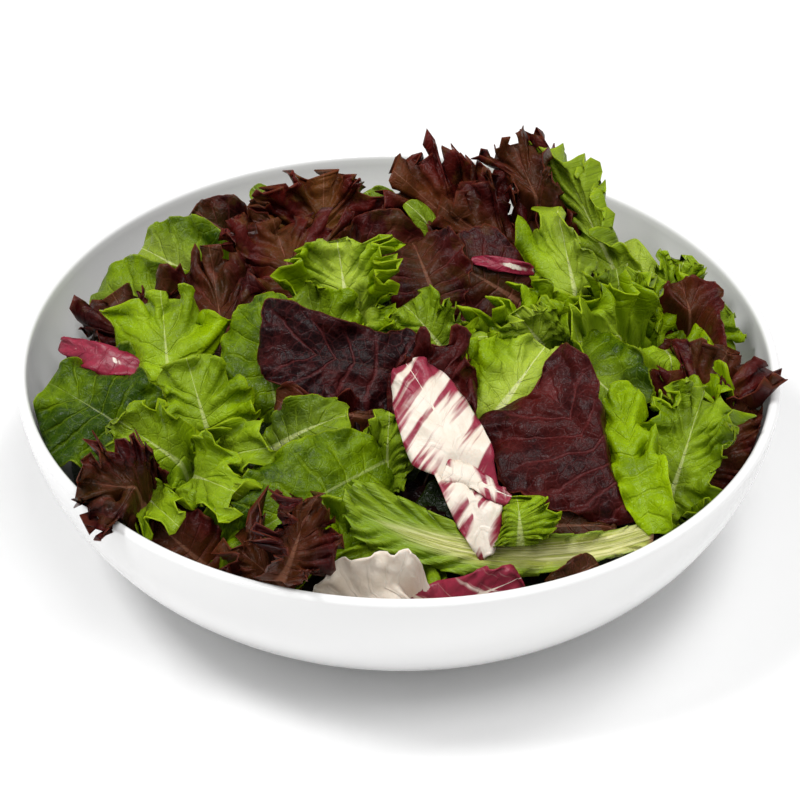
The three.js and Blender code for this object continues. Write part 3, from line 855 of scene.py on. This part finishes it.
# Frilly red lettuce. Short leaves, green or cream by the stem and maroon at a margin so ruffled
# and toothed that it stands up in spikes.
SPIKY_RED = [
    leaf(1, "dark back left inner", "spiky", base=(-40, 70), tip=(-56, 92, 80), width=28, tone=0.3),
    leaf(3, "lollo back left", "spiky", base=(-30, 72), tip=(-30, 88, 95), width=40,
         face=(0, -1, 0.3), curl=(30, 30), tone=0.8, pale=0.5),
    leaf(4, "lollo mid left", "spiky", base=(-34, 12), tip=(-48, 54, 95), width=42, curl=(20, -20),
         tone=0.55, pale=0.3),
    leaf(8, "lollo top", "spiky", base=(44, 66), tip=(-2, 84, 99), width=46, face=(0, -0.8, 0.6),
         arch=(6, 6), tone=0.7, pale=0.3),
    leaf(9, "lollo spire", "spiky", base=(60, 52, 90), tip=(41, 84, 117), width=24,
         face=(0, -1, 0.2), curl=(30, 10), tone=0.4, pale=0.2,
         edge=((-1, 1), (-0.4, 0.8), (-0.2, 1.2), (-0.05, 0.8), (0.05, 0.8), (0.2, 1.1), (0.4, 0.7),
               (1, 0.9))),
    leaf(10, "lollo back mid", "spiky", base=(58, 52), tip=(20, 62, 97), width=34, tone=0.4),
    leaf(23, "lollo right", "spiky", base=(104, -42), tip=(119, -6, 82), width=36,
         face=(-0.3, -0.6, 0.8), arch=(8, 4), tone=0.45),
    leaf(24, "lollo right low", "spiky", base=(104, -56), tip=(126, -22, 70), width=36, tone=0.4),
    leaf(31, "red crinkled", "lobed", base=(-4, -44, 88), tip=(29, -44, 93), width=40, arch=(8, 8),
         curl=(-10, -20), tone=0.4, pale=-0.4, over=10,
         edge=((-1, 1), (-0.5, 0.7), (-0.3, 1.2), (0.1, 0.8), (0.3, 1.3), (0.45, 0.7), (1, 1))),
    leaf(42, "lollo left", "spiky", base=(-84, -8), tip=(-106, 26, 79), width=38, tone=0.25),
    leaf(43, "red strip left", "spiky", base=(-62, -14), tip=(-70, 36, 88), width=30, tone=0.3),
    leaf(57, "lollo front left", "spiky", base=(-80, -84, 79), tip=(-107, -91, 85), width=30,
         face=(-0.3, -0.8, 0.5), arch=(10, 6), tone=0.3, over=20),
    leaf(58, "lollo front", "spiky", base=(-34, -114), tip=(-56, -110, 75), width=26, curl=(40, 40),
         tone=0.35),
    leaf(59, "lollo front tall", "spiky", base=(-38, -134, 79), tip=(-30, -110, 94), width=24,
         face=(0.3, -1, 0.5), curl=(40, 30), tone=0.4, pale=0.2, over=20),
]
BACK_SPIKY = [back_leaf(i, "spiky", 0.45) for i in range(2, BACK_LEAVES, 3)]
lay_leaves("frilly_red_leaves", SPIKY_RED + BACK_SPIKY, RED_LEAF, FRILL_STEP)


# Radicchio. Stiff little leaves with broad cream ribs and wine-red streaks that run with the side
# veins and close up towards the margin.
def radicchio():
    """Radicchio: cream where its ribs are, wine red in streaks that close up towards the tip."""
    material, nodes, skin = new_material(
        "radicchio",
        {
            "IOR": 1.42,
            "Subsurface Weight": 0.25,
            "Subsurface Radius": (1.0, 0.7, 0.6),
            "Subsurface Scale": 0.0012,
        },
    )
    m = leaf_marks(nodes)
    along, across, _ = split(m.flat)
    over_streaks = 0.21 * (0.82 * along + 0.57 * across)
    with_streaks = 0.018 * (0.57 * along - 0.82 * across)
    streaks = nodes.node("ShaderNodeCombineXYZ", {}, {0: over_streaks, 1: with_streaks, 2: 9.0})
    stain = step(
        mottle(streaks, 1.0, 3.0, 0.3) + 0.3 * m.tone + 0.1 * m.out + 0.14 * m.to_tip - 0.2 * m.rib,
        0.66,
        0.78,
    )
    cream = mix(mottle(m.flat, 0.15), (0.66, 0.56, 0.44, 1), (0.82, 0.74, 0.66, 1))
    wine = mix(mottle(m.flat, 0.4), (0.14, 0.006, 0.018, 1), (0.34, 0.02, 0.055, 1))
    feed(
        skin,
        Base_Color=mix(stain, cream, wine),
        Roughness=0.32 + 0.15 * mottle(m.flat, 0.4),
        Normal=bump(mottle(m.flat, 0.3, 3.0) + 0.4 * m.side_vein + 0.06 * m.net, 0.0006, 0.7),
    )
    return material


RADICCHIO_LEAVES = [
    leaf(13, "chicory sliver upper", "scrap", base=(50, 30, 92), tip=(26, 31, 96), width=5, tone=1.1,
         over=70),
    leaf(16, "chicory stub", "scrap", base=(60, 56), tip=(79, 50, 84), width=8, tone=0.5),
    leaf(32, "chicory main", "chicory", base=(31, -110, 71), tip=(2, -47, 106), width=26,
         face=(-0.1, -0.8, 0.6), arch=(6, 8), curl=(20, -30), sway=-4, tone=0.3, over=90,
         edge=((-1, 0.5), (-0.6, 0.9), (-0.4, 1.1), (0, 0.9), (0.4, 1.1), (0.5, 1.1), (0.55, 0.7),
               (1, 0.6))),
    leaf(44, "chicory left", "scrap", base=(-94, -18, 80), tip=(-124, 0, 77), width=11, tone=1.5,
         over=60, edge=((-1, 1), (-0.4, 0.7), (0, 1.2), (0.3, 0.6), (0.5, 1.2), (1, 1))),
    leaf(60, "chicory front white", "chicory", base=(-24, -119), tip=(11, -124, 78), width=30,
         face=(0, -1, 0.4), curl=(30, 30), tone=-0.6),
    leaf(61, "chicory front pink", "chicory", base=(6, -122), tip=(42, -122, 72), width=18,
         face=(0, -0.9, 0.5), tone=0.6),
    leaf(74, "chicory flap", "scrap", base=(16, -86, 89), tip=(40, -95, 84), width=9,
         face=(0, -0.6, 0.8), arch=(2, 1), curl=(-20, -20), tone=0.1, over=120,
         edge=((-1, 1.3), (-0.5, 0.6), (-0.2, 1.1), (0.1, 0.5), (0.6, 1.2), (1, 1.3))),
]
lay_leaves("radicchio_leaves", RADICCHIO_LEAVES, radicchio())


# The long pale stem at the front: one lettuce leaf that is nearly all rib, with a narrow ruffled
# blade at its far end and a cut end that has turned brown.
def pale_stem():
    """A lettuce stem: pale yellow-green with fine lines, greener at its ruffled sides."""
    material, nodes, skin = new_material(
        "pale_stem",
        {
            "IOR": 1.42,
            "Subsurface Weight": 0.3,
            "Subsurface Radius": (1.0, 1.0, 0.4),
            "Subsurface Scale": 0.0015,
        },
    )
    m = leaf_marks(nodes)
    lengthwise = nodes.node(
        "ShaderNodeVectorMath", {"operation": "MULTIPLY"}, {0: m.flat, 1: (0.05, 1.2, 1.0)}
    )
    lines = step(mottle(lengthwise, 1.0, 3.0), 0.36, 0.64)
    stalk = mix(lines, (0.36, 0.39, 0.06, 1), (0.62, 0.6, 0.26, 1))
    blade = mix(mottle(m.flat, 0.1), (0.11, 0.2, 0.003, 1), (0.26, 0.36, 0.01, 1))
    leafy = step(0.8 * m.out + m.to_tip, 0.75, 1.15)
    cut = 1 - step(split(m.flat)[0], 0.3, 2.2)
    feed(
        skin,
        Base_Color=mix(cut, mix(leafy, stalk, blade), (0.34, 0.17, 0.09, 1)),
        Roughness=0.34 + 0.16 * mottle(m.flat, 0.4),
        Normal=bump(lines, 0.0006, 0.7),
    )
    return material


STEM_LEAVES = [
    leaf(55, "stem front", "stem", base=(88, -97, 72), tip=(-18, -98, 83), width=22, arch=(-2, 6),
         sway=12),
]
lay_leaves("stem_leaf", STEM_LEAVES, pale_stem())

# The leaves underneath. Torn pieces of the same lettuces, lying every way just below the ones on
# top, so that the gaps between those look down onto leaves, darkened with painted shade. Their
# draws are seeded.
UNDER_FIRST = 100
UNDER_LEAVES = 130
UNDER_REACH = 112
UNDER_LIMIT = 118
UNDER_STEP = 3.2
UNDER_HALF_LENGTH = (20, 31)
UNDER_WIDTH = (26, 40)
UNDER_DEPTH = (4, 11)
UNDER_TILT = 4
UNDER_ARCH = (2, 8)
UNDER_CURL = 25
UNDER_TONE = (-0.1, 0.35)
# How far the leaves underneath are darkened as painted shade for lying in the heap's shadow. Their
# low tones above darken them too, partly as painted shade and partly as duller leaves.
UNDER_DEEP = 0.88
UNDER_SEED = 7
draws = random.Random(UNDER_SEED)


def under_leaf(i):
    """One torn leaf below the mound's surface, at a place and a slant that are drawn."""
    angle = draws.uniform(0, math.tau)
    reach = UNDER_REACH * math.sqrt(draws.random())
    middle = Vector((math.cos(angle), math.sin(angle))) * reach
    heading = draws.uniform(0, math.tau)
    run = Vector((math.cos(heading), math.sin(heading))) * draws.uniform(*UNDER_HALF_LENGTH)
    ends = [middle - run, middle + run]
    for end in ends:
        end *= min(1, UNDER_LIMIT / end.length)
    tilt = draws.uniform(-UNDER_TILT, UNDER_TILT)
    depth = draws.uniform(*UNDER_DEPTH)
    return leaf(
        UNDER_FIRST + i,
        f"under {i}",
        draws.choice(["smooth", "lobed", "frilly"]),
        base=(*ends[0], mound_height(*ends[0]) - depth - tilt),
        tip=(*ends[1], mound_height(*ends[1]) - depth + tilt),
        width=draws.uniform(*UNDER_WIDTH),
        face=(draws.uniform(-0.5, 0.5), draws.uniform(-0.6, 0.3), 1),
        arch=(draws.uniform(*UNDER_ARCH), draws.uniform(*UNDER_ARCH)),
        curl=(draws.uniform(-UNDER_CURL, UNDER_CURL), draws.uniform(-UNDER_CURL, UNDER_CURL)),
        tone=draws.uniform(*UNDER_TONE),
        pale=draws.choice([0, 0, 0.4]),
        deep=UNDER_DEEP,
    )


UNDER = [under_leaf(i) for i in range(UNDER_LEAVES)]
UNDER_GREEN = [each for i, each in enumerate(UNDER) if i % 5 < 3]
UNDER_RED = [each for i, each in enumerate(UNDER) if i % 5 > 2]
lay_leaves("green_leaves_below", UNDER_GREEN, GREEN_LEAF, UNDER_STEP)
lay_leaves("red_leaves_below", UNDER_RED, RED_LEAF, UNDER_STEP)

# How the heap lies. Nearer leaves lie over the ones behind them. Where a leaf would come up through
# one that lies over it, it is pressed back below that leaf, as its weight would do.
PRESS = Vector((0, 0.35, -0.94)).normalized()
PRESS_REACH = 14
PRESS_GAP = 1.1
PRESS_SOFTENING = 8
NO_CREASE = math.radians(180)


def tree_of(sheet):
    """A search tree of a sheet's faces, with the box that it fills."""
    places = {vert: i for i, vert in enumerate(sheet.verts)}
    faces = {face for vert in sheet.verts for face in vert.link_faces}
    in_order = sorted(faces, key=lambda face: face.index)
    polygons = [[places[vert] for vert in face.verts] for face in in_order]
    points = [vert.co.copy() for vert in sheet.verts]
    low = [min(point[i] for point in points) for i in range(3)]
    high = [max(point[i] for point in points) for i in range(3)]
    return SimpleNamespace(tree=BVHTree.FromPolygons(points, polygons), low=low, high=high)


def near_each_other(first, second, reach):
    """Whether the boxes of two sheets come within reach of each other."""
    return all(
        first.low[i] - reach < second.high[i] and second.low[i] - reach < first.high[i]
        for i in range(3)
    )


def press_down(sheet, above):
    """Moves a sheet's points to below the sheets above it, and eases the points beside them."""
    reach = PRESS_REACH * MM
    mine = tree_of(sheet)
    near = [other for other in above if near_each_other(mine, other, reach)]
    needed = {}
    for vert in sheet.verts:
        needed[vert] = 0
        for other in near:
            distance = other.tree.ray_cast(vert.co, PRESS, reach)[3]
            if distance is not None:
                needed[vert] = max(needed[vert], distance + PRESS_GAP * MM)
    moved = dict(needed)
    for _ in range(PRESS_SOFTENING):
        eased = {}
        for vert in sheet.verts:
            beside = [edge.other_vert(vert) for edge in vert.link_edges]
            eased[vert] = max(needed[vert], sum(moved[other] for other in beside) / len(beside))
        moved = eased
    for vert, distance in moved.items():
        vert.co += PRESS * distance
        vert.co = clear_of_bowl(vert.co / MM) * MM


def settle_heap():
    """Presses each leaf below those over it, from the front of the heap to its back, and then the
    leaves underneath below them all."""
    tops = [sheet for laid in LAID for sheet in laid.sheets if sheet.leaf.number < UNDER_FIRST]
    tops.sort(key=lambda sheet: (sheet.leaf.base[1] + sheet.leaf.tip[1]) / 2 - sheet.leaf.over)
    above = []
    for sheet in tops:
        press_down(sheet, above)
        above.append(tree_of(sheet))
    for laid in LAID:
        for sheet in laid.sheets:
            if sheet.leaf.number >= UNDER_FIRST:
                press_down(sheet, above)


def finish_leaves(laid):
    """Thickens the leaves of one kind to both sides of their sheets."""
    piece = piece_from(laid.bm, laid.name, laid.material, NO_CREASE)
    thickness = piece.modifiers.new("thickness", "SOLIDIFY")
    thickness.thickness = LEAF_THICKNESS * MM
    thickness.offset = 0
    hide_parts("salad")


for laid in LAID:
    laid.bm.faces.index_update()
settle_heap()
for laid in LAID:
    finish_leaves(laid)

# The studio. A pale floor, white all round, and soft square lamps above the left, the right and the
# front, so that the bowl's shadow is faint. Places and widths are in metres, power in watts.
FLOOR_SIZE = 6
WORLD_LIGHT = 0.42


def studio_floor():
    """A dull, nearly even white."""
    material, nodes, skin = new_material("studio_floor", {"Roughness": 0.6})
    place = nodes.node("ShaderNodeTexCoord", {}, {}, "Object")
    feed(skin, Base_Color=mix(mottle(place, 3.0), (0.88, 0.88, 0.88, 1), (0.9, 0.9, 0.9, 1)))
    return material


floor_mesh = bmesh.new()
bmesh.ops.create_grid(floor_mesh, x_segments=2, y_segments=2, size=FLOOR_SIZE / 2)
floor_data = bpy.data.meshes.new("floor")
floor_mesh.to_mesh(floor_data)
floor_mesh.free()
floor_data.materials.append(studio_floor())
floor = bpy.data.objects.new("floor", floor_data)
bpy.context.scene.collection.objects.link(floor)

LAMPS = {
    "lamp_left": SimpleNamespace(place=(-1.0, -0.3, 1.9), width=0.5, power=22),
    "lamp_right": SimpleNamespace(place=(0.6, 0.0, 1.9), width=0.6, power=13),
    "lamp_front": SimpleNamespace(place=(0.3, -1.0, 2.1), width=0.7, power=15),
}
for name, lamp in LAMPS.items():
    light = bpy.data.lights.new(name, "AREA")
    light.size = lamp.width
    light.energy = lamp.power
    shining = bpy.data.objects.new(name, light)
    bpy.context.scene.collection.objects.link(shining)
    shining.location = lamp.place
    shining.rotation_euler = Vector(lamp.place).to_track_quat("Z", "Y").to_euler()

world = bpy.data.worlds.new("studio")
world.use_nodes = True
world_light = world.node_tree.nodes["Background"]
world_light.inputs["Color"].default_value = (1, 1, 1, 1)
world_light.inputs["Strength"].default_value = WORLD_LIGHT
bpy.context.scene.world = world
bpy.context.scene.view_settings.view_transform = "Standard"

# The camera. As the photograph was taken, from above the serving side and through a long lens. The
# lens and the place of the rim's centre are in pixels of the picture, the sensor is in millimetres
# and the distance from the rim's centre is in metres.
IMAGE_WIDTH = 800
SENSOR = 36
ELEVATION = math.radians(36.1)
DISTANCE = 1.1
FOCAL_PIXELS = 2996
RIM_CENTRE_RIGHT = -1
RIM_CENTRE_UP = 46
ROLL = math.radians(0.8)

back = Vector((0, -math.cos(ELEVATION), math.sin(ELEVATION)))
unrolled = Vector((0, math.sin(ELEVATION), math.cos(ELEVATION)))
right = Vector((1, 0, 0)) * math.cos(ROLL) + unrolled * math.sin(ROLL)
upward = back.cross(right)
aside = right * (RIM_CENTRE_RIGHT / FOCAL_PIXELS) + upward * (RIM_CENTRE_UP / FOCAL_PIXELS)
forward = (-back - aside).normalized()
right = forward.cross(upward).normalized()
upward = right.cross(forward)
camera_data = bpy.data.cameras.new("camera")
camera_data.sensor_width = SENSOR
camera_data.lens = FOCAL_PIXELS * SENSOR / IMAGE_WIDTH
camera = bpy.data.objects.new("camera", camera_data)
bpy.context.scene.collection.objects.link(camera)
turned = Matrix((right, upward, -forward)).transposed().to_4x4()
rim_centre = Vector((0, 0, BOWL_HEIGHT * MM))
camera.matrix_world = Matrix.Translation(rim_centre + back * DISTANCE) @ turned
bpy.context.scene.camera = camera
